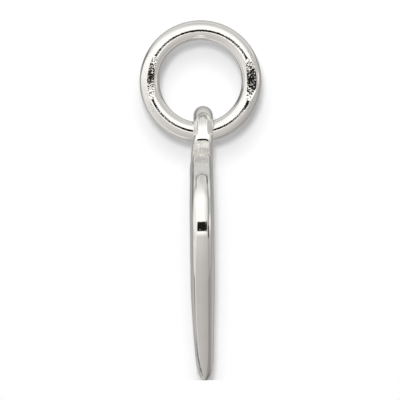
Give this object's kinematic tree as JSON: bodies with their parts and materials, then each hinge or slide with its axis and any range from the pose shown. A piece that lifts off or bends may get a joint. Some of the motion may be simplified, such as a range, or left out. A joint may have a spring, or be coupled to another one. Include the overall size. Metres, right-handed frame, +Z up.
{
  "type": "heart pendant",
  "caption": "Small puffed heart with a flat polished edge and a fixed loop, hanging free from a round jump ring that a chain passes through.",
  "frame": {"origin": "inside top of the jump ring, where the chain carries it", "axes": "+Z up, +X along the chain and across the heart's width, so the front of the heart looks along -Y and the jump ring lies in the YZ plane"},
  "size_m": [0.0124, 0.006, 0.018],
  "materials": {
    "ring_silver": "polished sterling silver wire with a soldered joint and faint plier marks",
    "heart_silver": "high polish sterling silver, mirror bright, fine hairline scratches"
  },
  "bodies": {
    "ring": {"jump_ring": "ring_silver"},
    "heart": {"heart_drop": "heart_silver"}
  },
  "joints": [
    {"name": "heart_swing", "type": "hinge", "parent": "ring", "child": "heart", "pos_m": [0, 0, -0.0046], "axis": [0, 1, 0], "range_deg": [-100, 100]}
  ]
}
